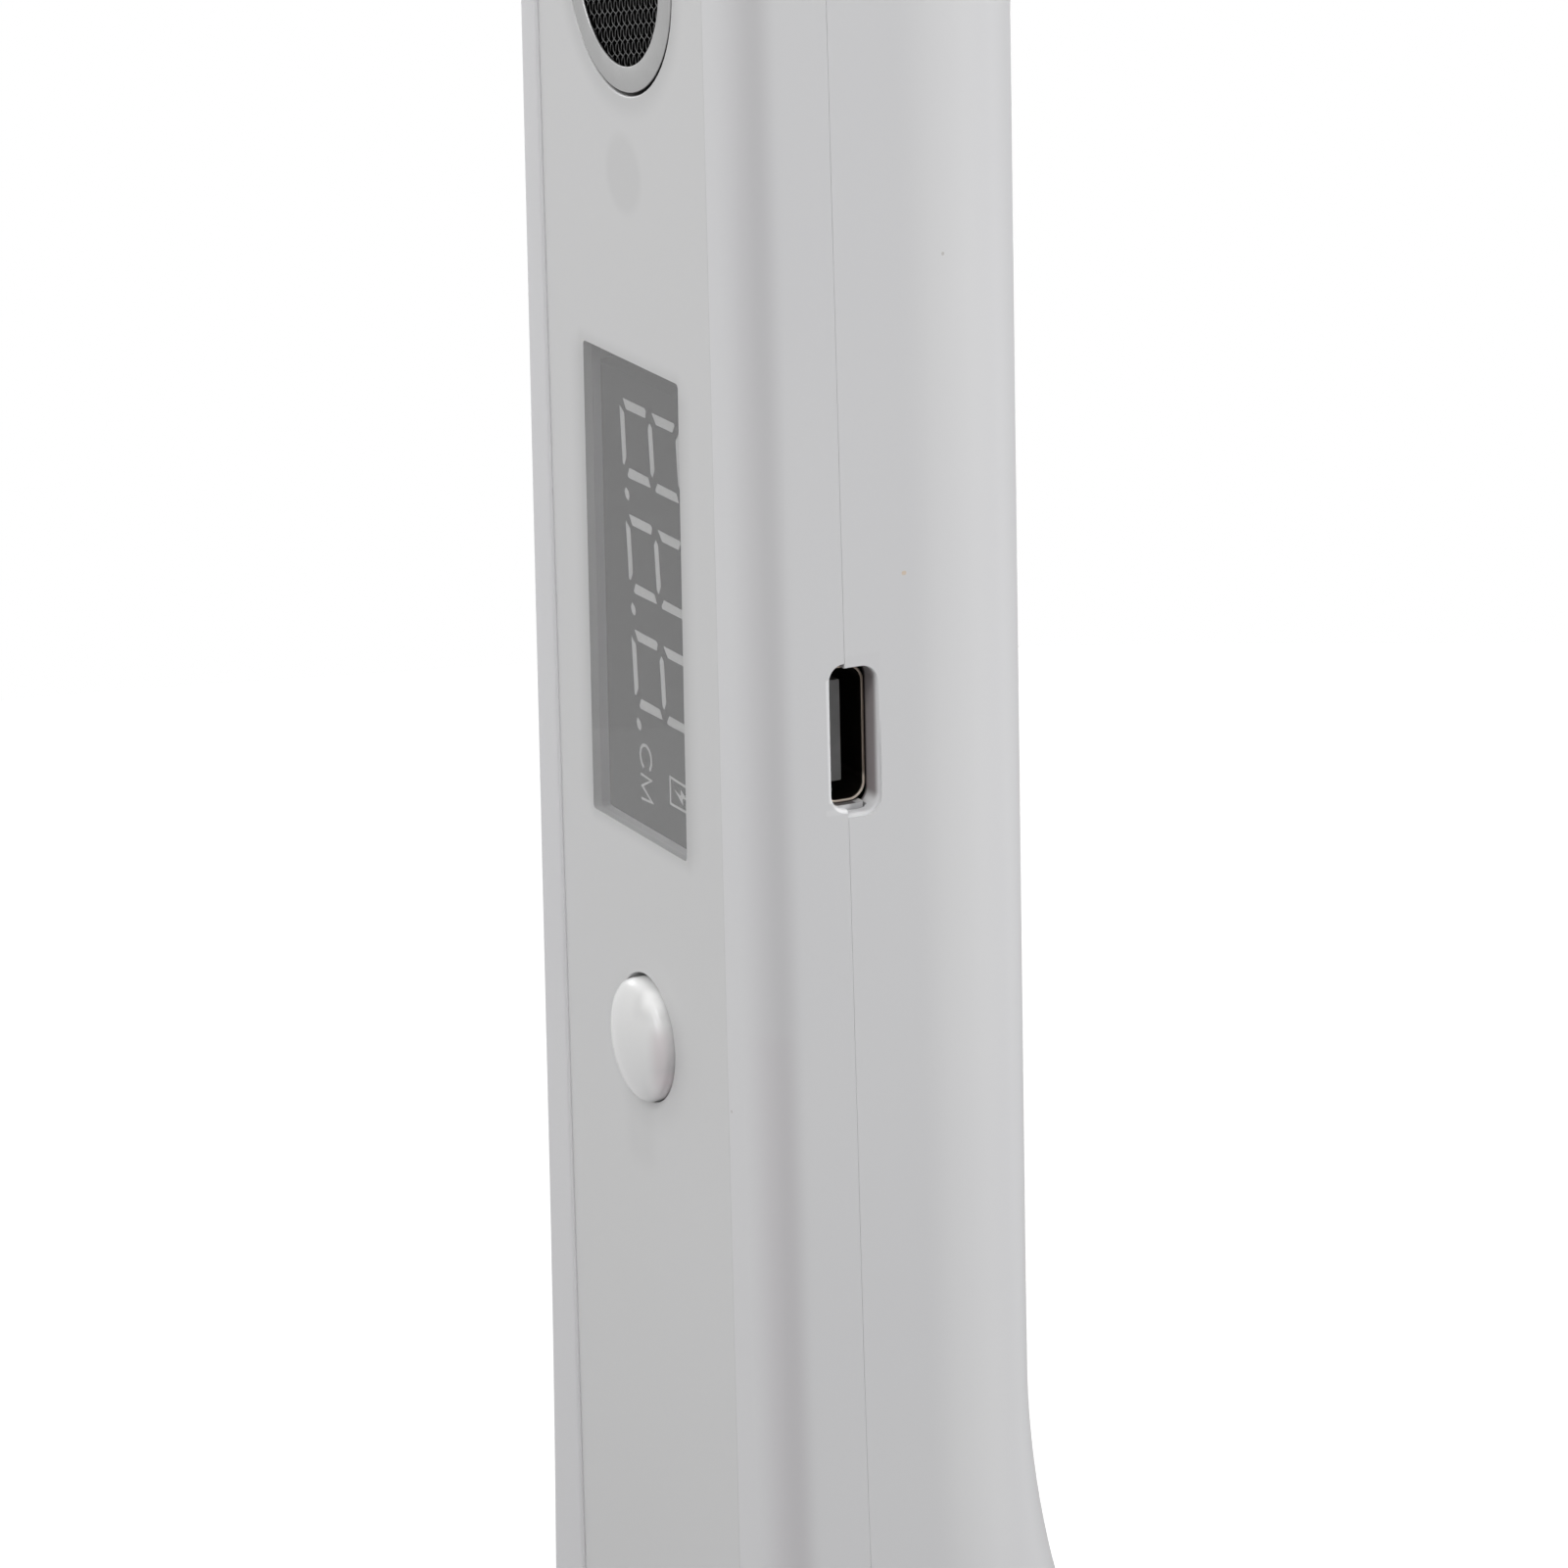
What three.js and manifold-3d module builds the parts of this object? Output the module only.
// A handheld ultrasonic stadiometer: an L-shaped instrument of two moulded housing halves.
// It stands on the flat sole of its foot, with the slim measuring arm upright along +Z.
// In use the sole is held flat against a wall and the arm lies on top of a head: the sensor in
// the arm's face then looks down to the floor and the display shows the distance.
// Millimetres. Inside the group, x runs across the arm, y runs from the front rim (0) to the
// back, and z runs from the sole (0) to the end of the arm.

import * as THREE from 'three';
import Module from 'manifold-3d';
import { mergeVertices } from 'three/addons/utils/BufferGeometryUtils.js';

const wasm = await Module();
wasm.setup();

// Outer form of the two housing halves
const height = 230; // sole to the end of the arm
const armDepth = 22.3; // front rim to back, at the slimmest place
const armTaper = 0.0117; // growth of that depth for each unit of height above it
const flareStart = 123; // height where the back starts to sweep out to the foot
const flareRound = 58; // first, tighter arc of the sweep
const flareTurnDegrees = 15; // how far the tighter arc turns
const sweepRound = 170; // second, wide arc of the sweep
const noseRound = 9; // convex arc that turns the sweep into the toe
const toeHeight = 12; // height of the toe's upright edge
const kneeHeight = 133; // height where the sides start to sweep out
const endHalfWidth = 16.61; // half the width at the arm's end
const sideTaper = 0.0164; // growth of half width for each unit below the end
const sideSweep = 850; // radius of the side sweep below the knee
const frontRound = 3; // plan radius of the two front corners
const armBackRound = 11; // plan radius of the two back corners on the arm
const footBackRound = 24; // and on the foot
const endRound = 8; // edge radius of the arm's end
const soleRound = 2.4; // edge radius round the sole
const sideWall = 2; // wall of sides, back, sole and end
const frontWall = 3.2; // wall behind the front rim
const partingDepth = 6.45; // front rim to the parting line
const partingGap = 0.3; // open line between the halves
const tongueWall = 0.8; // lip of the front half that reaches into the rear half
const tongueLength = 1.6;
const seat = 0.2; // gap between pieces that are seated on each other

// Front panel, a clear-edged plate set into the front half
const panelHalfWidth = 12.2;
const panelThick = 1.5;
const panelRecess = 0.2; // how far the panel lies behind the rim
const panelGap = 0.3; // seam round the panel
const panelEndMargin = 5.5; // end of the arm to the recess
const panelFootMargin = 38; // sole to the recess
const panelRound = 5;

// Display
const windowDrop = 12.2; // lamp's axis to the window's upper edge
const windowWidth = 14.1;
const windowHeight = 31.2;
const windowRound = 0.3;
const displayLedge = 0.4; // what is left of the front wall round the display
const lcdWidth = 16.4;
const lcdLength = 33;
const lcdPlate = 1.1; // each of the two glass plates
const lcdContactEdge = 2.5; // the rear plate's edge that carries the contacts
const backlightThick = 1.8;
const spacerWall = 1.2;
const zebraThick = 1.6;

// Button and its switch
const buttonDrop = 13.9; // window's lower edge to the button's axis
const buttonHoleRadius = 4.3;
const buttonGap = 0.2; // running gap round the cap
const domeHeight = 2; // crown of the cap above the panel
const capFlange = 1; // how far the cap's flange reaches past its hole
const capFlangeThick = 0.8;
const capFloor = 0.7; // wall behind the flange
const pressTravel = 0.5;
const switchSide = 6;
const switchThick = 3.1;
const plungerRadius = 1.7;
const plungerRise = 1; // plunger above the switch body
const plungerGap = 0.15;
const contactGap = 0.1; // cap to plunger

// Ultrasonic sensor, a standard sixteen millimetre can
const sensorEndMargin = 14; // end of the arm to the sensor's axis
const sensorRadius = 8;
const sensorLip = 2; // width of the ring round the grille
const sensorLength = 12;
const sensorRecess = 0.1; // rim to the ring's face
const canWall = 0.5;
const lipThick = 0.6;
const panelHoleGap = 0.3; // ring to the hole's edge
const grilleThick = 0.3;
const grillePitch = 1.45;
const grilleWeb = 0.42; // wire between two openings
const coneRadius = 4.4;
const coneThroat = 1.6;
const coneDepth = 2.6;
const coneWall = 0.4;
const piezoRadius = 3.6;
const piezoThick = 0.9;
const sensorBaseThick = 2.4;
const pinSpacing = 5;
const pinRadius = 0.5;
const pinLength = 4;
const sleeveWall = 1.1;
const sleeveLength = 4.6;
const collarWall = 1.2;

// Indicator lamp and light pipe
const lampDrop = 12.9; // sensor's axis to the lamp's axis
const lampRadius = 2.5;
const lampBody = 2.8;
const lampThick = 1;
const pipeCollarWall = 1;

// Circuit board and what is on it
const boardHalfWidth = 13.4;
const boardThick = 1.6;
const boardTopMargin = 9.5; // sensor axis to the board's upper edge
const boardFootMargin = 9.8; // board's lower edge to the button's axis
const pillarRadius = 1.5;
const stakeRadius = 0.8;
const stakeInset = 2.2; // stake to the board's edges
const chipSide = 7;
const chipThick = 1.3;
const chargerWidth = 5;
const chargerLength = 4;
const buzzerRadius = 6;
const buzzerThick = 4.2;
const connectorWidth = 7.5;
const connectorLength = 5;
const connectorThick = 3.6;
const plugRoom = 4.4; // board's lower edge to the middle screw boss, for the plug and its leads
const leadRadius = 0.55;

// Charging socket in the side, a standard receptacle
const socketDrop = 5.9; // window's centre to the socket's centre
const socketWidth = 8.94;
const socketThick = 3.2;
const socketOffset = 0.5; // parting line to the socket's middle
const socketShell = 0.3;
const socketDepth = 7.3;
const socketInset = 1.75; // side of the housing to the socket's mouth
const socketTongueWidth = 6.6;
const socketTongueThick = 0.7;
const socketTongueInset = 0.9; // mouth to the tongue's edge
const socketBlockDepth = 1.6;
const cutoutWidth = 9.9;
const cutoutThick = 3.54;

// Battery
const batteryHalfWidth = 10;
const batteryThick = 6;
const batteryLength = 50;
const batteryRound = 2;
const batteryTopGap = 7; // middle screw boss to the cell, for the leads' bend

// Screws that hold the halves together, from the back
const bossRadius = 3.2;
const bossDepth = 12; // front rim to the joint between the bosses
const screwRadius = 1.25;
const screwHeadRadius = 2.7;
const screwHeadThick = 1.7;
const screwGap = 0.2; // play round the screw in its holes
const wellWall = 1.2;
const wellFloor = 2.2;
const screwLength = 8; // under the head
const driveWidth = 0.7;
const driveDepth = 0.9;
const lowerScrewDrop = 12.2; // foot of the battery cell to the lower screw
const footRibHalfSpacing = 13;
const footRibThick = 1.4;
const footRibHeight = 62;

// Fineness of round forms, in steps
const frontCornerSteps = 4;
const backCornerSteps = 7;
const endSteps = 5;
const armSteps = 2;
const flareSteps = 3;
const sweepSteps = 8;
const noseSteps = 4;
const soleSteps = 3;
const roundSteps = 30;
const smallRoundSteps = 16;
const batterySteps = 4;
const leadSides = 6;
const leadSteps = 12;
const overrun = 1; // how far a cutter reaches past what it cuts
const leastRoundShare = 0.1; // a fillet thinned by a wall keeps this share of itself

// Heights and depths that follow from the sizes above
const flareTurn = THREE.MathUtils.degToRad(flareTurnDegrees);
const sweepTurn = Math.asin(
  (flareStart + (sweepRound - flareRound) * Math.sin(flareTurn) - toeHeight) / (sweepRound + noseRound),
);
const sweepStartDepth = armDepth + flareRound * (1 - Math.cos(flareTurn));
const sweepEndDepth = sweepStartDepth + sweepRound * (Math.cos(flareTurn) - Math.cos(sweepTurn));
const footDepth = sweepEndDepth + noseRound * (1 - Math.cos(sweepTurn));
const sensorHeight = height - sensorEndMargin;
const lampHeight = sensorHeight - lampDrop;
const windowCentreHeight = lampHeight - windowDrop - windowHeight / 2;
const buttonHeight = windowCentreHeight - windowHeight / 2 - buttonDrop;
const socketHeight = windowCentreHeight - socketDrop;
const panelFront = panelRecess;
const panelBack = panelFront + panelThick;
const recessFloor = panelBack + seat;
const pocketFloor = recessFloor + displayLedge;
const lcdFront = pocketFloor + seat;
const lcdBack = lcdFront + 2 * lcdPlate;
const socketDepthCentre = partingDepth + socketOffset;
const boardFront = socketDepthCentre + socketThick / 2 + seat;
const boardBack = boardFront + boardThick;
const boardTop = sensorHeight - boardTopMargin;
const boardFoot = buttonHeight - boardFootMargin;
const upperScrewHeight = windowCentreHeight + lcdLength / 2 + bossRadius + 2 * seat;
const middleScrewHeight = boardFoot - bossRadius - plugRoom;
const batteryTop = middleScrewHeight - bossRadius - batteryTopGap;
const batteryFoot = batteryTop - batteryLength;
const lowerScrewHeight = batteryFoot - lowerScrewDrop;
const screwHeights = { upper: upperScrewHeight, middle: middleScrewHeight, lower: lowerScrewHeight };
const frontmost = panelFront - domeHeight;

// Materials
function plastic(color, roughness) {
  return new THREE.MeshStandardMaterial({ color, roughness, metalness: 0 });
}

function metal(color, roughness) {
  return new THREE.MeshStandardMaterial({ color, roughness, metalness: 1 });
}

const housingWhite = plastic(0xe9e9ea, 0.5);
const panelWhite = plastic(0xe6e6e7, 0.35);
const capWhite = plastic(0xf2f2f2, 0.3);
const clearPlastic = new THREE.MeshStandardMaterial({
  color: 0xf4f6f8,
  roughness: 0.1,
  metalness: 0,
  transparent: true,
  opacity: 0.35,
});
const displayGlass = plastic(0x63676a, 0.2);
const blackPlastic = plastic(0x17181a, 0.55);
const greyRubber = plastic(0x2b2a2c, 0.85);
const boardGreen = plastic(0x1d4a36, 0.55);
const canAluminium = metal(0xc3c5c7, 0.38);
const grilleMetal = metal(0x4b4c4e, 0.45);
const steel = metal(0xa9abad, 0.35);
const brass = metal(0xb99a55, 0.35);
const ceramic = plastic(0xd8d2c0, 0.6);
const cellFoil = metal(0x9fa3a8, 0.5);
const redLead = plastic(0xa8211d, 0.5);
const blackLead = plastic(0x1a1a1b, 0.5);

// Geometry to closed solid and back
function solidOf(geometry) {
  const bare = geometry.clone();
  bare.deleteAttribute('normal');
  bare.deleteAttribute('uv');
  const welded = mergeVertices(bare);
  const corners = Array.from(welded.index.array);
  const kept = [];
  for (let i = 0; i < corners.length; i += 3) {
    const [a, b, c] = corners.slice(i, i + 3);
    if (a !== b && b !== c && c !== a) kept.push(a, b, c);
  }
  const mesh = new wasm.Mesh({
    numProp: 3,
    vertProperties: new Float32Array(welded.attributes.position.array),
    triVerts: new Uint32Array(kept),
  });
  return new wasm.Manifold(mesh);
}

function geometryOf(solid) {
  const mesh = solid.getMesh();
  const geometry = new THREE.BufferGeometry();
  geometry.setAttribute('position', new THREE.BufferAttribute(new Float32Array(mesh.vertProperties), 3));
  geometry.setIndex(Array.from(mesh.triVerts));
  geometry.computeVertexNormals();
  return geometry;
}

function unite(...solids) {
  return solids.reduce((whole, next) => whole.add(next));
}

function cut(solid, ...cutters) {
  return cutters.reduce((left, cutter) => left.subtract(cutter), solid);
}

// A box from its low and high corner
function box(low, high) {
  const size = high.map((value, axis) => value - low[axis]);
  const geometry = new THREE.BoxGeometry(...size);
  geometry.translate(...low.map((value, axis) => value + size[axis] / 2));
  return solidOf(geometry);
}

// A turned piece about an axis that runs front to back. The profile holds [radius, depth] pairs
// from the axis round to the axis, or a closed ring of them.
function turned(profile, centreHeight, { closed = false, steps = roundSteps, across = 0 } = {}) {
  const points = profile.map(([radius, depth]) => new THREE.Vector2(radius, depth));
  if (closed) points.push(points[0].clone());
  const geometry = new THREE.LatheGeometry(points, steps);
  geometry.rotateY(Math.PI / steps);
  geometry.translate(across, 0, centreHeight);
  return upright(geometry);
}

// Makes sure that a closed geometry's faces point out
function upright(geometry) {
  const solid = solidOf(geometry);
  if (solid.volume() > 0) return solid;
  const flipped = mergeVertices(geometry.clone().deleteAttribute('normal').deleteAttribute('uv'));
  const order = Array.from(flipped.index.array);
  for (let i = 0; i < order.length; i += 3) [order[i], order[i + 1]] = [order[i + 1], order[i]];
  flipped.setIndex(order);
  return solidOf(flipped);
}

function disc(radius, front, back, centreHeight, options) {
  return turned([[0, front], [radius, front], [radius, back], [0, back]], centreHeight, options);
}

function tube(inner, outer, front, back, centreHeight, options) {
  const profile = [[inner, front], [outer, front], [outer, back], [inner, back]];
  return turned(profile, centreHeight, { ...options, closed: true });
}

// A rectangle with round corners, centred on the origin
function roundedRectangle(width, length, radius) {
  const w = width / 2;
  const l = length / 2;
  const r = Math.min(radius, w, l);
  const shape = new THREE.Shape();
  shape.moveTo(-w + r, -l);
  shape.lineTo(w - r, -l);
  shape.absarc(w - r, -l + r, r, -Math.PI / 2, 0);
  shape.lineTo(w, l - r);
  shape.absarc(w - r, l - r, r, 0, Math.PI / 2);
  shape.lineTo(-w + r, l);
  shape.absarc(-w + r, l - r, r, Math.PI / 2, Math.PI);
  shape.lineTo(-w, -l + r);
  shape.absarc(-w + r, -l + r, r, Math.PI, 1.5 * Math.PI);
  return shape;
}

function extruded(shape, depth, curveSegments) {
  return new THREE.ExtrudeGeometry(shape, { depth, bevelEnabled: false, curveSegments });
}

// A plate that faces the front: its outline is drawn in x and z and it is as deep as asked
function facingPlate(shape, front, back, centreHeight, curveSegments = 6) {
  const geometry = extruded(shape, back - front, curveSegments);
  geometry.rotateX(Math.PI / 2);
  geometry.translate(0, back, centreHeight);
  return upright(geometry);
}

// A plate that faces the side: its outline is drawn in y and z and it runs along x
function sidewaysPlate(shape, near, far, centreDepth, centreHeight, curveSegments = 5) {
  const geometry = extruded(shape, far - near, curveSegments);
  geometry.rotateY(Math.PI / 2);
  geometry.translate(near, centreDepth, centreHeight);
  return upright(geometry);
}

// Side view of the back, from the arm's end to the sole, as points that lie on the real
// outline moved inwards by the inset. Each arc keeps its centre and changes its radius.
function backLine(inset) {
  const points = [];
  const arc = (centreDepth, centreHeight, radius, from, to, steps, concave) => {
    for (let i = 0; i <= steps; i += 1) {
      const angle = from + ((to - from) * i) / steps;
      const side = concave ? -1 : 1;
      const reach = side * radius;
      points.push([centreDepth + reach * Math.cos(angle), centreHeight + reach * Math.sin(angle)]);
    }
  };
  const end = Math.max(endRound - inset, endRound * leastRoundShare);
  const endLine = armDepth + armTaper * (height - endRound - flareStart) - inset;
  arc(endLine - end, height - inset - end, end, Math.PI / 2, 0, endSteps, false);
  for (let i = 1; i < armSteps; i += 1) {
    const level = height - endRound - ((height - endRound - flareStart) * i) / armSteps;
    points.push([armDepth + armTaper * (level - flareStart) - inset, level]);
  }
  arc(armDepth + flareRound, flareStart, flareRound + inset, 0, flareTurn, flareSteps, true);
  const wideDepth = sweepStartDepth + sweepRound * Math.cos(flareTurn);
  const wideHeight = flareStart + (sweepRound - flareRound) * Math.sin(flareTurn);
  points.pop();
  arc(wideDepth, wideHeight, sweepRound + inset, flareTurn, sweepTurn, sweepSteps, true);
  points.pop();
  const nose = Math.max(noseRound - inset, noseRound * leastRoundShare);
  arc(footDepth - noseRound, toeHeight, nose, sweepTurn, 0, noseSteps, false);
  const sole = Math.max(soleRound - inset, soleRound * leastRoundShare);
  arc(footDepth - inset - sole, inset + sole, sole, 0, -Math.PI / 2, soleSteps, false);
  return points;
}

// How far a rounded edge has drawn the outline in at a distance from the edge's plane
function edgeDraw(distance, radius) {
  if (distance >= radius) return 0;
  return radius - Math.sqrt(Math.max(radius * radius - (radius - distance) ** 2, 0));
}

function halfWidthAt(level) {
  const below = Math.max(kneeHeight - level, 0);
  return endHalfWidth + sideTaper * (height - level) + (below * below) / (2 * sideSweep);
}

// One level section of the housing: flat front, straight sides and rounder back corners
function housingRing(level, back, inset) {
  const end = Math.max(endRound - inset, endRound * leastRoundShare);
  const sole = Math.max(soleRound - inset, soleRound * leastRoundShare);
  const front = Math.max(frontRound - inset, frontRound * leastRoundShare);
  const fromEnd = height - inset - level;
  const fromSole = level - inset;
  const sideDraw = edgeDraw(fromEnd, end) + edgeDraw(fromSole, sole);
  const frontDraw = edgeDraw(fromEnd, front) + edgeDraw(fromSole, sole);
  const half = halfWidthAt(level) - inset - sideDraw;
  const near = inset + frontDraw;
  const footShare = (back - armDepth) / (footDepth - armDepth);
  const fullRound = armBackRound + (footBackRound - armBackRound) * Math.min(Math.max(footShare, 0), 1);
  const leastCorner = front * leastRoundShare;
  const frontCorner = Math.max(Math.min(front - edgeDraw(fromSole, sole), half / 2), leastCorner);
  const room = Math.min(back - near - frontCorner, half) * (1 - leastRoundShare);
  const backCorner = Math.min(Math.max(fullRound - inset - sideDraw, front), room);
  const ring = [];
  const corner = (x, y, radius, from, steps) => {
    for (let i = 0; i <= steps; i += 1) {
      const angle = from + (Math.PI / 2) * (i / steps);
      ring.push(new THREE.Vector3(x + radius * Math.cos(angle), y + radius * Math.sin(angle), level));
    }
  };
  corner(half - frontCorner, near + frontCorner, frontCorner, -Math.PI / 2, frontCornerSteps);
  corner(half - backCorner, back - backCorner, backCorner, 0, backCornerSteps);
  corner(-half + backCorner, back - backCorner, backCorner, Math.PI / 2, backCornerSteps);
  corner(-half + frontCorner, near + frontCorner, frontCorner, Math.PI, frontCornerSteps);
  return ring;
}

// Closed skin through rings of equal count, with a fan of faces over each end
function loft(rings) {
  const count = rings[0].length;
  const positions = rings.flat().flatMap((point) => [point.x, point.y, point.z]);
  const faces = [];
  for (let level = 0; level + 1 < rings.length; level += 1) {
    for (let i = 0; i < count; i += 1) {
      const a = level * count + i;
      const b = level * count + ((i + 1) % count);
      faces.push(a, a + count, b, b, a + count, b + count);
    }
  }
  const cap = (first, turn) => {
    const ring = rings[first / count];
    const middle = ring.reduce((sum, point) => sum.add(point), new THREE.Vector3()).divideScalar(count);
    const hub = positions.length / 3;
    positions.push(middle.x, middle.y, middle.z);
    for (let i = 0; i < count; i += 1) {
      const pair = [first + i, first + ((i + 1) % count)];
      faces.push(hub, ...(turn ? pair.reverse() : pair));
    }
  };
  cap(0, false);
  cap((rings.length - 1) * count, true);
  const geometry = new THREE.BufferGeometry();
  geometry.setAttribute('position', new THREE.Float32BufferAttribute(positions, 3));
  geometry.setIndex(faces);
  return upright(geometry);
}

function housingForm(inset) {
  return loft(backLine(inset).map(([back, level]) => housingRing(level, back, inset)));
}

// Everything between two depths, as a cutter or keeper
function slab(front, back) {
  const reach = halfWidthAt(0) + overrun;
  return box([-reach, front, -overrun], [reach, back, height + overrun]);
}

// Openings that both halves share
function socketCutout() {
  const wallSide = halfWidthAt(socketHeight);
  const shape = roundedRectangle(cutoutWidth, cutoutThick, cutoutThick / 2);
  return sidewaysPlate(shape, wallSide - 2 * sideWall, wallSide + overrun, socketDepthCentre, socketHeight);
}

function recessOutline(grow) {
  const length = height - panelEndMargin - panelFootMargin;
  return roundedRectangle(2 * (panelHalfWidth + grow), length - 2 * panelGap + 2 * grow, panelRound + grow);
}

const recessCentre = (height - panelEndMargin + panelFootMargin) / 2;

function stakePlaces() {
  const across = boardHalfWidth - stakeInset;
  const levels = [boardFoot + stakeInset, boardTop - stakeInset];
  return levels.flatMap((level) => [[-across, level], [across, level]]);
}

// Front half: rim, recess for the panel, sensor collar, lamp collar, pillars and screw bosses
function frontHousing() {
  const cavity = housingForm(sideWall).intersect(slab(frontWall, footDepth + overrun));
  const shell = cut(housingForm(0), cavity).intersect(slab(-overrun, partingDepth - partingGap / 2));
  const lipOuter = housingForm(sideWall - tongueWall);
  const lip = cut(lipOuter, housingForm(sideWall)).intersect(slab(frontWall, partingDepth + tongueLength));
  const sleeveOuter = sensorRadius + sleeveWall + seat;
  const collarBack = boardFront - 2 * seat;
  const added = [
    disc(sleeveOuter + seat + collarWall, recessFloor + seat, collarBack, sensorHeight),
    disc(lampRadius + seat + pipeCollarWall, recessFloor + seat, collarBack - lampThick, lampHeight),
  ];
  for (const level of Object.values(screwHeights)) {
    added.push(disc(bossRadius, recessFloor + seat, bossDepth, level, { steps: smallRoundSteps }));
  }
  for (const [across, level] of stakePlaces()) {
    const options = { steps: smallRoundSteps, across };
    added.push(disc(pillarRadius, recessFloor + seat, boardFront - seat, level, options));
    added.push(disc(stakeRadius, boardFront - 2 * seat, boardBack + seat, level, options));
  }
  const windowHole = roundedRectangle(windowWidth, windowHeight, windowRound);
  const pocket = roundedRectangle(lcdWidth + 2 * seat, lcdLength + 2 * seat, windowRound);
  const cutters = [
    facingPlate(recessOutline(panelGap), -overrun, recessFloor, recessCentre),
    facingPlate(windowHole, 0, frontWall + overrun, windowCentreHeight),
    facingPlate(pocket, pocketFloor, frontWall + overrun, windowCentreHeight),
    disc(sensorRadius + panelHoleGap, 0, frontWall + overrun, sensorHeight),
    disc(sleeveOuter + seat, frontWall - seat, collarBack + overrun, sensorHeight),
    disc(lampRadius + seat, 0, collarBack + overrun, lampHeight),
    disc(buttonHoleRadius, 0, frontWall + overrun, buttonHeight),
    socketCutout(),
  ];
  const pilot = screwRadius + screwGap;
  for (const level of Object.values(screwHeights)) {
    const bottom = bossDepth + wellFloor + seat - screwLength - 2 * seat;
    cutters.push(disc(pilot, bottom, bossDepth + overrun, level, { steps: smallRoundSteps }));
  }
  return cut(unite(shell, lip, ...added), ...cutters);
}

// Rear half: the deep tub that sweeps out to the foot, with its screw wells and foot ribs
function rearHousing() {
  const back = footDepth + overrun;
  const inner = housingForm(sideWall).intersect(slab(frontWall, back));
  const shell = cut(housingForm(0), inner).intersect(slab(partingDepth + partingGap / 2, back));
  const relief = cut(
    housingForm(sideWall - tongueWall - seat).intersect(slab(0, partingDepth + tongueLength + seat)),
    housingForm(sideWall + overrun),
  );
  const ribs = [-1, 1].map((side) => {
    const near = side * footRibHalfSpacing - footRibThick / 2;
    const low = [near, partingDepth + tongueLength + 2 * seat, 0];
    return box(low, [near + footRibThick, back, footRibHeight]).intersect(housingForm(sideWall / 2));
  });
  const wells = [];
  const bores = [];
  for (const level of Object.values(screwHeights)) {
    const outer = screwHeadRadius + screwGap + wellWall;
    const floor = bossDepth + seat;
    const options = { steps: smallRoundSteps };
    wells.push(disc(outer, floor, back, level, options).intersect(housingForm(sideWall / 2)));
    bores.push(disc(screwHeadRadius + screwGap, floor + wellFloor, back, level, options));
    bores.push(disc(screwRadius + screwGap, floor - overrun, floor + wellFloor + overrun, level, options));
  }
  return cut(unite(cut(shell, relief), ...ribs, ...wells), ...bores, socketCutout());
}

function frontPanel() {
  const plate = facingPlate(recessOutline(0), panelFront, panelBack, recessCentre, 8);
  const windowHole = roundedRectangle(windowWidth, windowHeight, windowRound);
  return cut(
    plate,
    facingPlate(windowHole, panelFront - overrun, panelBack + overrun, windowCentreHeight),
    disc(sensorRadius + panelHoleGap, panelFront - overrun, panelBack + overrun, sensorHeight),
    disc(buttonHoleRadius, panelFront - overrun, panelBack + overrun, buttonHeight),
  );
}

function displayWindow() {
  const gap = seat / 4;
  const shape = roundedRectangle(windowWidth - 2 * gap, windowHeight - 2 * gap, windowRound);
  return facingPlate(shape, panelFront, panelBack, windowCentreHeight);
}

// Two bonded glass plates: the rear one stands past the front one with its contacts
function lcdGlass() {
  const half = lcdWidth / 2;
  const foot = windowCentreHeight - lcdLength / 2;
  const top = windowCentreHeight + lcdLength / 2;
  return unite(
    box([-half, lcdFront, foot], [half, lcdFront + lcdPlate, top - lcdContactEdge]),
    box([-half, lcdFront + lcdPlate, foot], [half, lcdBack, top]),
  );
}

function lcdBacklight() {
  const half = lcdWidth / 2;
  const front = lcdBack + seat;
  const foot = windowCentreHeight - lcdLength / 2;
  const top = windowCentreHeight + lcdLength / 2 - lcdContactEdge - seat;
  return box([-half, front, foot], [half, front + backlightThick, top]);
}

// Open frame that carries the backlight on the board
function lcdSpacer() {
  const half = lcdWidth / 2;
  const front = lcdBack + backlightThick + 2 * seat;
  const back = boardFront - seat;
  const foot = windowCentreHeight - lcdLength / 2;
  const top = windowCentreHeight + lcdLength / 2 - lcdContactEdge - seat;
  return cut(
    box([-half, front, foot], [half, back, top]),
    box(
      [-half + spacerWall, front - overrun, foot + spacerWall],
      [half - spacerWall, back + overrun, top - spacerWall],
    ),
  );
}

function lcdZebraStrip() {
  const half = lcdWidth / 2 - spacerWall;
  const top = windowCentreHeight + lcdLength / 2 - (lcdContactEdge - zebraThick) / 2;
  return box([-half, lcdBack + seat, top - zebraThick], [half, boardFront - seat, top]);
}

// Domed cap with a skirt through the panel and a flange that keeps it in
function capFlangeFront() {
  return frontWall + pressTravel / 2;
}

function buttonCap() {
  const radius = buttonHoleRadius - buttonGap;
  const sphere = (radius * radius + domeHeight * domeHeight) / (2 * domeHeight);
  const spread = Math.asin(radius / sphere);
  const steps = smallRoundSteps / 2;
  const profile = [];
  for (let i = 0; i <= steps; i += 1) {
    const angle = (spread * i) / steps;
    profile.push([sphere * Math.sin(angle), panelFront - domeHeight + sphere * (1 - Math.cos(angle))]);
  }
  profile[0][0] = 0;
  const flangeFront = capFlangeFront();
  const flangeBack = flangeFront + capFlangeThick;
  profile.push([radius, flangeFront], [buttonHoleRadius + capFlange, flangeFront]);
  profile.push([buttonHoleRadius + capFlange, flangeBack], [plungerRadius, flangeBack]);
  profile.push([plungerRadius, plungerFront() - contactGap], [0, plungerFront() - contactGap]);
  return turned(profile, buttonHeight);
}

function switchFront() {
  return boardFront - seat - switchThick;
}

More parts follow.
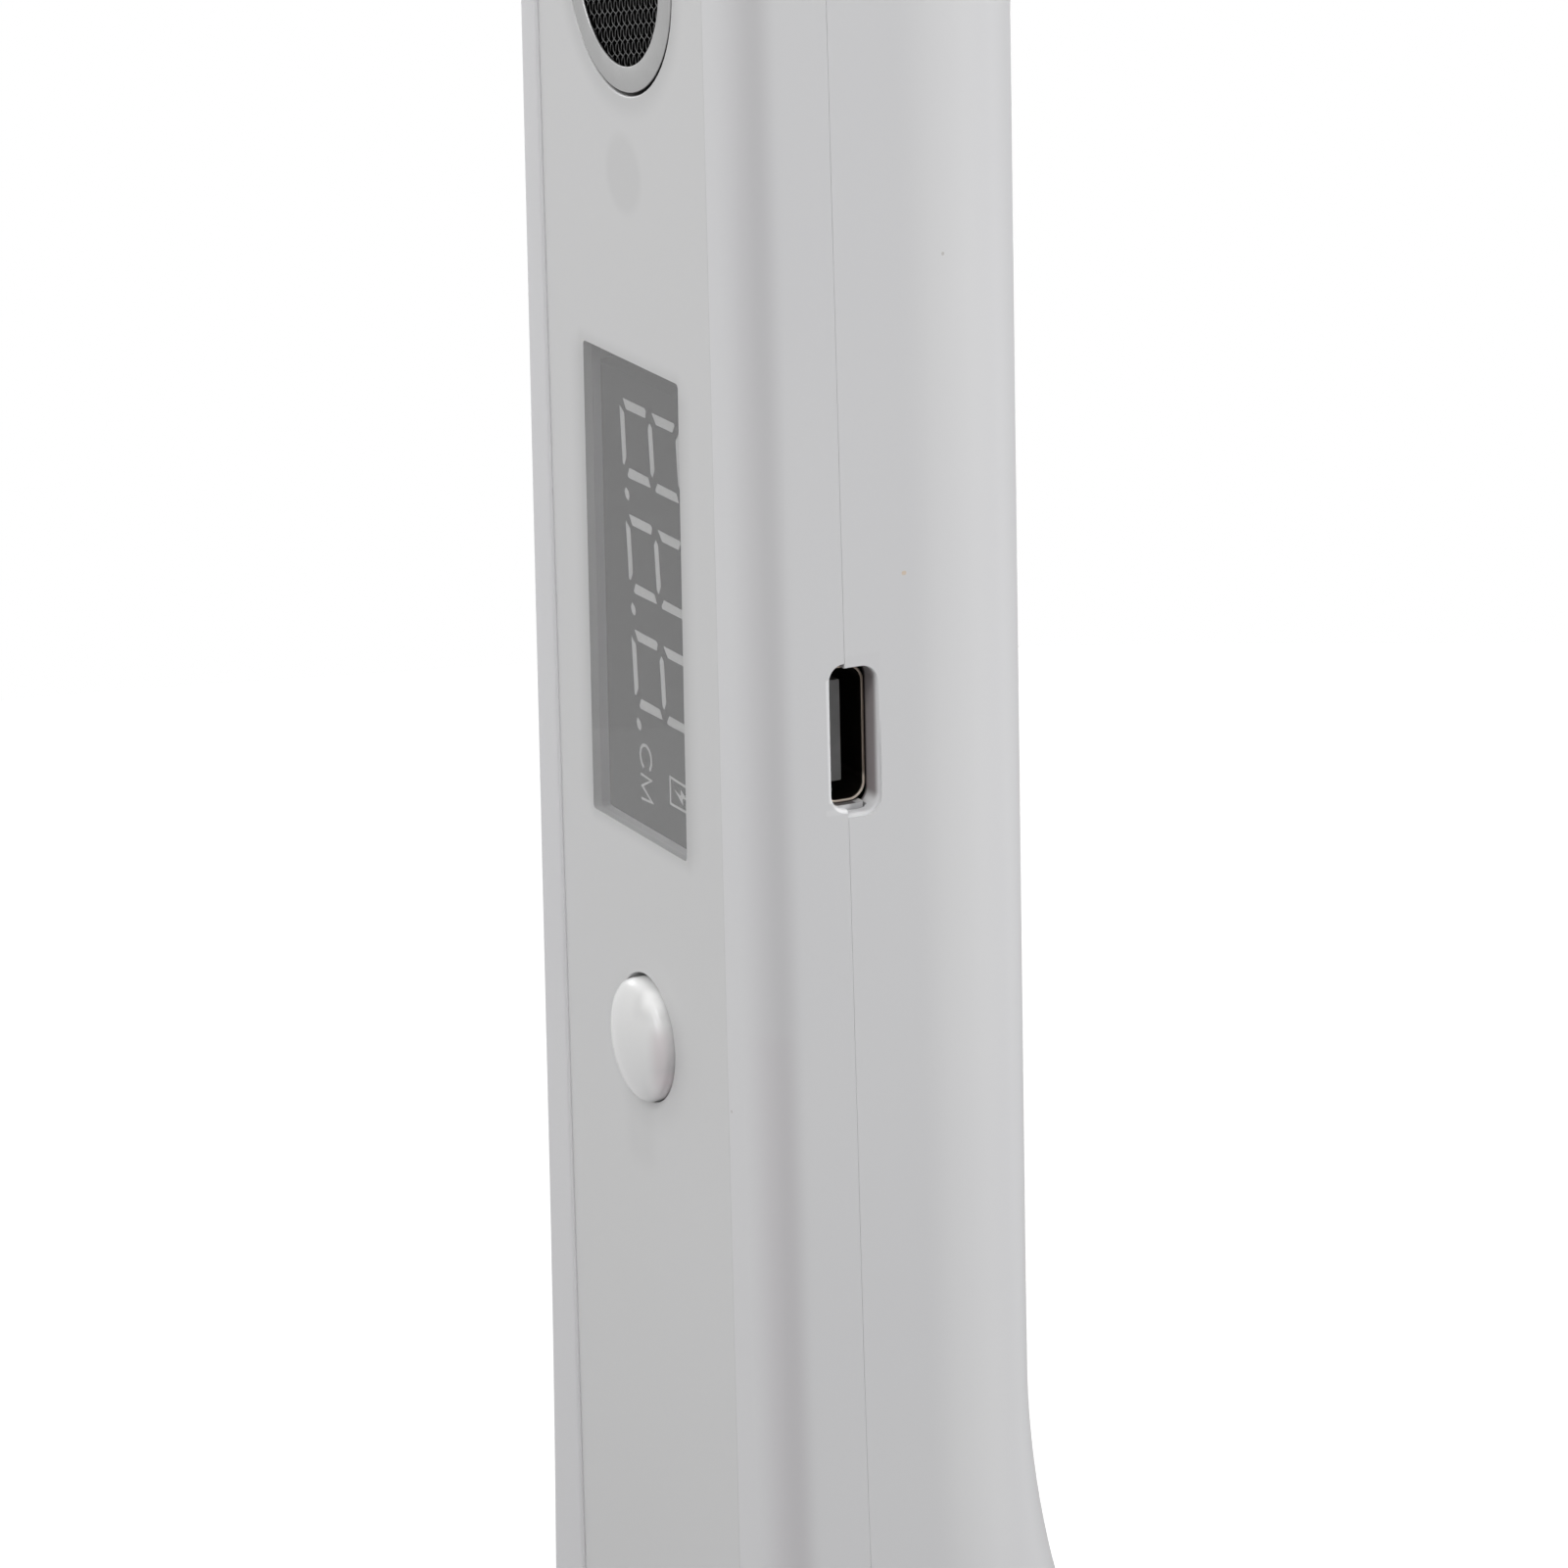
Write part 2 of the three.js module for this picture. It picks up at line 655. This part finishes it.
function plungerFront() {
  return switchFront() - plungerRise;
}

function switchBody() {
  const half = switchSide / 2;
  const low = [-half, switchFront(), buttonHeight - half];
  const well = plungerRadius + plungerGap;
  const wellBack = switchFront() + plungerRise + pressTravel + 2 * seat;
  return cut(
    box(low, [half, boardFront - seat, buttonHeight + half]),
    disc(well, switchFront() - overrun, wellBack, buttonHeight, { steps: smallRoundSteps }),
  );
}

function switchPlunger() {
  const back = switchFront() + plungerRise;
  return disc(plungerRadius, plungerFront(), back, buttonHeight, { steps: smallRoundSteps });
}

// Sensor: a drawn can whose rolled lip frames the grille
function sensorCan() {
  const front = sensorRecess;
  const back = front + sensorLength;
  const bore = sensorRadius - sensorLip;
  const roll = lipThick / 2;
  const lipBack = front + lipThick;
  const profile = [
    [bore, lipBack],
    [bore, front],
    [sensorRadius - roll, front],
    [sensorRadius, front + roll],
    [sensorRadius, back],
    [sensorRadius - canWall, back],
    [sensorRadius - canWall, lipBack],
  ];
  return turned(profile, sensorHeight, { closed: true });
}

// Perforated disc behind the lip. Its hexagon openings lie in staggered rows.
function sensorGrille() {
  const front = sensorRecess + lipThick + seat;
  const radius = sensorRadius - canWall - seat;
  const opening = (grillePitch - grilleWeb) / 2;
  const rowStep = grillePitch * Math.sin(Math.PI / 3);
  const reach = sensorRadius - sensorLip - opening;
  const rows = Math.floor(reach / rowStep);
  const shape = new THREE.Shape();
  shape.absarc(0, 0, radius, 0, 2 * Math.PI);
  for (let row = -rows; row <= rows; row += 1) {
    const shift = row % 2 === 0 ? 0 : grillePitch / 2;
    const columns = Math.ceil(reach / grillePitch);
    for (let column = -columns; column <= columns; column += 1) {
      const x = column * grillePitch + shift;
      const z = row * rowStep;
      if (Math.hypot(x, z) > reach) continue;
      const hole = new THREE.Path();
      for (let i = 0; i < 6; i += 1) {
        const angle = (i * Math.PI) / 3 + Math.PI / 6;
        const corner = [x + opening * Math.cos(angle), z + opening * Math.sin(angle)];
        if (i === 0) hole.moveTo(...corner);
        else hole.lineTo(...corner);
      }
      hole.closePath();
      shape.holes.push(hole);
    }
  }
  return facingPlate(shape, front, front + grilleThick, sensorHeight, 16);
}

function grilleBack() {
  return sensorRecess + lipThick + seat + grilleThick;
}

// Light metal cone that couples the piezo disc to the air
function sensorCone() {
  const mouth = grilleBack() + 2 * seat;
  const foot = mouth + coneDepth;
  const profile = [
    [0, foot - coneWall],
    [coneThroat, foot - coneWall],
    [coneRadius - coneWall, mouth],
    [coneRadius, mouth],
    [coneThroat + coneWall, foot],
    [0, foot],
  ];
  return turned(profile, sensorHeight);
}

function piezoFront() {
  return grilleBack() + 2 * seat + coneDepth + seat;
}

function sensorPiezoDisc() {
  return disc(piezoRadius, piezoFront(), piezoFront() + piezoThick, sensorHeight);
}

// Plug that closes the can, with a boss that carries the piezo disc and holes for two pins
function sensorBaseFront() {
  return sensorRecess + sensorLength - sensorBaseThick;
}

function sensorBase() {
  const radius = sensorRadius - canWall - seat;
  const back = sensorRecess + sensorLength;
  const body = unite(
    disc(radius, sensorBaseFront(), back, sensorHeight),
    disc(piezoRadius / 2, piezoFront() + piezoThick + seat, sensorBaseFront() + seat, sensorHeight),
  );
  const holes = [-1, 1].map((side) => {
    const options = { steps: smallRoundSteps, across: (side * pinSpacing) / 2 };
    return disc(pinRadius + seat / 2, sensorBaseFront() - overrun, back + overrun, sensorHeight, options);
  });
  return cut(body, ...holes);
}

function pinBack() {
  return sensorRecess + sensorLength + pinLength;
}

function sensorPin(side) {
  const options = { steps: smallRoundSteps, across: (side * pinSpacing) / 2 };
  return disc(pinRadius, sensorBaseFront() - seat, pinBack(), sensorHeight, options);
}

function sensorSleeve() {
  const inner = sensorRadius + seat;
  const front = frontWall;
  return tube(inner, inner + sleeveWall, front, front + sleeveLength, sensorHeight);
}

function lightPipe() {
  return disc(lampRadius, panelBack + seat, boardFront - lampThick - 2 * seat, lampHeight);
}

function indicatorLamp() {
  const half = lampBody / 2;
  const back = boardFront - seat;
  return box([-half, back - lampThick, lampHeight - half], [half, back, lampHeight + half]);
}

function mainBoard() {
  const low = [-boardHalfWidth, boardFront, boardFoot];
  const high = [boardHalfWidth, boardBack, boardTop];
  const holes = stakePlaces().map(([across, level]) => {
    const options = { steps: smallRoundSteps, across };
    return disc(stakeRadius + seat, boardFront - overrun, boardBack + overrun, level, options);
  });
  const bossHole = disc(bossRadius + 2 * seat, boardFront - overrun, boardBack + overrun, upperScrewHeight);
  return cut(box(low, high), ...holes, bossHole);
}

// Socket: a drawn shell with a tongue on a moulded block at its back
function socketMouth() {
  return halfWidthAt(socketHeight) - socketInset;
}

function socketOutline(inset) {
  const thick = socketThick - 2 * inset;
  return roundedRectangle(socketWidth - 2 * inset, thick, thick / 2);
}

function usbShell() {
  const mouth = socketMouth();
  const back = mouth - socketDepth;
  const place = [socketDepthCentre, socketHeight];
  return cut(
    sidewaysPlate(socketOutline(0), back, mouth, ...place),
    sidewaysPlate(socketOutline(socketShell), back - overrun, mouth + overrun, ...place),
  );
}

function usbTongue() {
  const mouth = socketMouth();
  const back = mouth - socketDepth + seat;
  const place = [socketDepthCentre, socketHeight];
  const tongue = roundedRectangle(socketTongueWidth, socketTongueThick, socketTongueThick * leastRoundShare);
  return unite(
    sidewaysPlate(socketOutline(socketShell + seat / 2), back, back + socketBlockDepth, ...place),
    sidewaysPlate(tongue, back + socketBlockDepth / 2, mouth - socketTongueInset, ...place),
  );
}

function microcontroller() {
  const half = chipSide / 2;
  const front = boardBack + seat;
  const low = [-half, front, windowCentreHeight - half];
  return box(low, [half, front + chipThick, windowCentreHeight + half]);
}

function chargerChip() {
  const front = boardBack + seat;
  const near = boardHalfWidth - stakeInset - chargerWidth;
  const low = [near, front, socketHeight - chargerLength - socketWidth / 2];
  return box(low, [near + chargerWidth, front + chipThick, socketHeight - socketWidth / 2]);
}

function buzzer() {
  const front = boardBack + seat;
  const level = windowCentreHeight - chipSide / 2 - buzzerRadius - 2 * seat;
  const body = disc(buzzerRadius, front, front + buzzerThick, level);
  return cut(body, disc(buzzerRadius / 5, front + buzzerThick / 2, front + buzzerThick + overrun, level));
}

// Battery and its plug
function batteryCell() {
  const shape = roundedRectangle(2 * batteryHalfWidth, batteryThick, batteryRound);
  const geometry = extruded(shape, batteryLength, batterySteps);
  geometry.translate(0, frontWall + seat + batteryThick / 2, batteryFoot);
  return upright(geometry);
}

function connectorPlace() {
  return { front: boardBack + seat, foot: boardFoot + seat };
}

function batteryConnector() {
  const { front, foot } = connectorPlace();
  const half = connectorWidth / 2;
  return box([-half, front, foot], [half, front + connectorThick, foot + connectorLength]);
}

// Leads: round tubes along smooth lines between the pieces that they join
function leadAlong(points) {
  const curve = new THREE.CatmullRomCurve3(points.map((point) => new THREE.Vector3(...point)));
  const section = new THREE.Shape();
  for (let i = 0; i < leadSides; i += 1) {
    const angle = (i * 2 * Math.PI) / leadSides;
    const corner = [leadRadius * Math.cos(angle), leadRadius * Math.sin(angle)];
    if (i === 0) section.moveTo(...corner);
    else section.lineTo(...corner);
  }
  section.closePath();
  const options = { steps: leadSteps, bevelEnabled: false, extrudePath: curve };
  const geometry = new THREE.ExtrudeGeometry(section, options);
  return upright(geometry);
}

function sensorLead(side) {
  const across = (side * pinSpacing) / 2;
  const start = pinBack() + seat;
  const bend = 2 * leadRadius;
  const finish = boardTop - pinSpacing;
  const bypass = side * (screwHeadRadius + wellWall + 4 * leadRadius);
  return leadAlong([
    [across, start, sensorHeight],
    [across, start + bend, sensorHeight],
    [(across + bypass) / 2, start + bend, (sensorHeight + finish) / 2],
    [bypass, boardBack + seat + 2 * bend, finish],
    [bypass, boardBack + seat, finish],
  ]);
}

function batteryLead(side) {
  const { front, foot } = connectorPlace();
  const bypass = side * (screwHeadRadius + wellWall + 4 * leadRadius);
  const cellMiddle = frontWall + seat + batteryThick / 2;
  const plug = front + connectorThick / 2;
  const bend = 4 * leadRadius;
  return leadAlong([
    [bypass, cellMiddle, batteryTop + seat],
    [bypass, cellMiddle, batteryTop + bend],
    [bypass, (cellMiddle + plug) / 2, middleScrewHeight],
    [side * connectorWidth * 0.25, plug, foot - bend],
    [side * connectorWidth * 0.25, plug, foot - seat],
  ]);
}

// Self-tapping screw with a pan head and a cross recess
function screw(level) {
  const headFront = bossDepth + seat + wellFloor + seat;
  const headBack = headFront + screwHeadThick;
  const tip = headFront - screwLength;
  const body = turned(
    [
      [0, tip],
      [screwRadius / 3, tip],
      [screwRadius, tip + screwRadius],
      [screwRadius, headFront],
      [screwHeadRadius, headFront],
      [screwHeadRadius, headBack - screwHeadThick / 3],
      [screwHeadRadius * 0.6, headBack],
      [0, headBack],
    ],
    level,
    { steps: smallRoundSteps },
  );
  const long = screwHeadRadius * 0.55;
  const thin = driveWidth / 2;
  const front = headBack - driveDepth;
  const back = headBack + overrun;
  return cut(
    body,
    box([-long, front, level - thin], [long, back, level + thin]),
    box([-thin, front, level - long], [thin, back, level + long]),
  );
}

// Assembly
const device = new THREE.Group();
device.position.y = -(frontmost + footDepth) / 2;

function add(name, solid, material) {
  const mesh = new THREE.Mesh(geometryOf(solid), material);
  mesh.name = name;
  device.add(mesh);
}

add('front_housing', frontHousing(), housingWhite);
add('rear_housing', rearHousing(), housingWhite);
add('front_panel', frontPanel(), panelWhite);
add('display_window', displayWindow(), clearPlastic);
add('lcd_glass', lcdGlass(), displayGlass);
add('lcd_backlight', lcdBacklight(), panelWhite);
add('lcd_spacer', lcdSpacer(), blackPlastic);
add('lcd_zebra_strip', lcdZebraStrip(), greyRubber);
add('button_cap', buttonCap(), capWhite);
add('switch_plunger', switchPlunger(), blackPlastic);
add('switch_body', switchBody(), blackPlastic);
add('main_board', mainBoard(), boardGreen);
add('indicator_lamp', indicatorLamp(), clearPlastic);
add('light_pipe', lightPipe(), clearPlastic);
add('usb_shell', usbShell(), steel);
add('usb_tongue', usbTongue(), blackPlastic);
add('sensor_can', sensorCan(), canAluminium);
add('sensor_grille', sensorGrille(), grilleMetal);
add('sensor_cone', sensorCone(), canAluminium);
add('sensor_piezo_disc', sensorPiezoDisc(), ceramic);
add('sensor_base', sensorBase(), blackPlastic);
add('sensor_pin_left', sensorPin(-1), brass);
add('sensor_pin_right', sensorPin(1), brass);
add('sensor_sleeve', sensorSleeve(), greyRubber);
add('sensor_lead_left', sensorLead(-1), blackLead);
add('sensor_lead_right', sensorLead(1), redLead);
add('battery_cell', batteryCell(), cellFoil);
add('battery_connector', batteryConnector(), panelWhite);
add('battery_lead_left', batteryLead(-1), blackLead);
add('battery_lead_right', batteryLead(1), redLead);
add('microcontroller', microcontroller(), blackPlastic);
add('charger_chip', chargerChip(), blackPlastic);
add('buzzer', buzzer(), blackPlastic);
for (const [place, level] of Object.entries(screwHeights)) {
  add(`screw_${place}`, screw(level), steel);
}

const group = new THREE.Group();
group.add(device);

export default group;
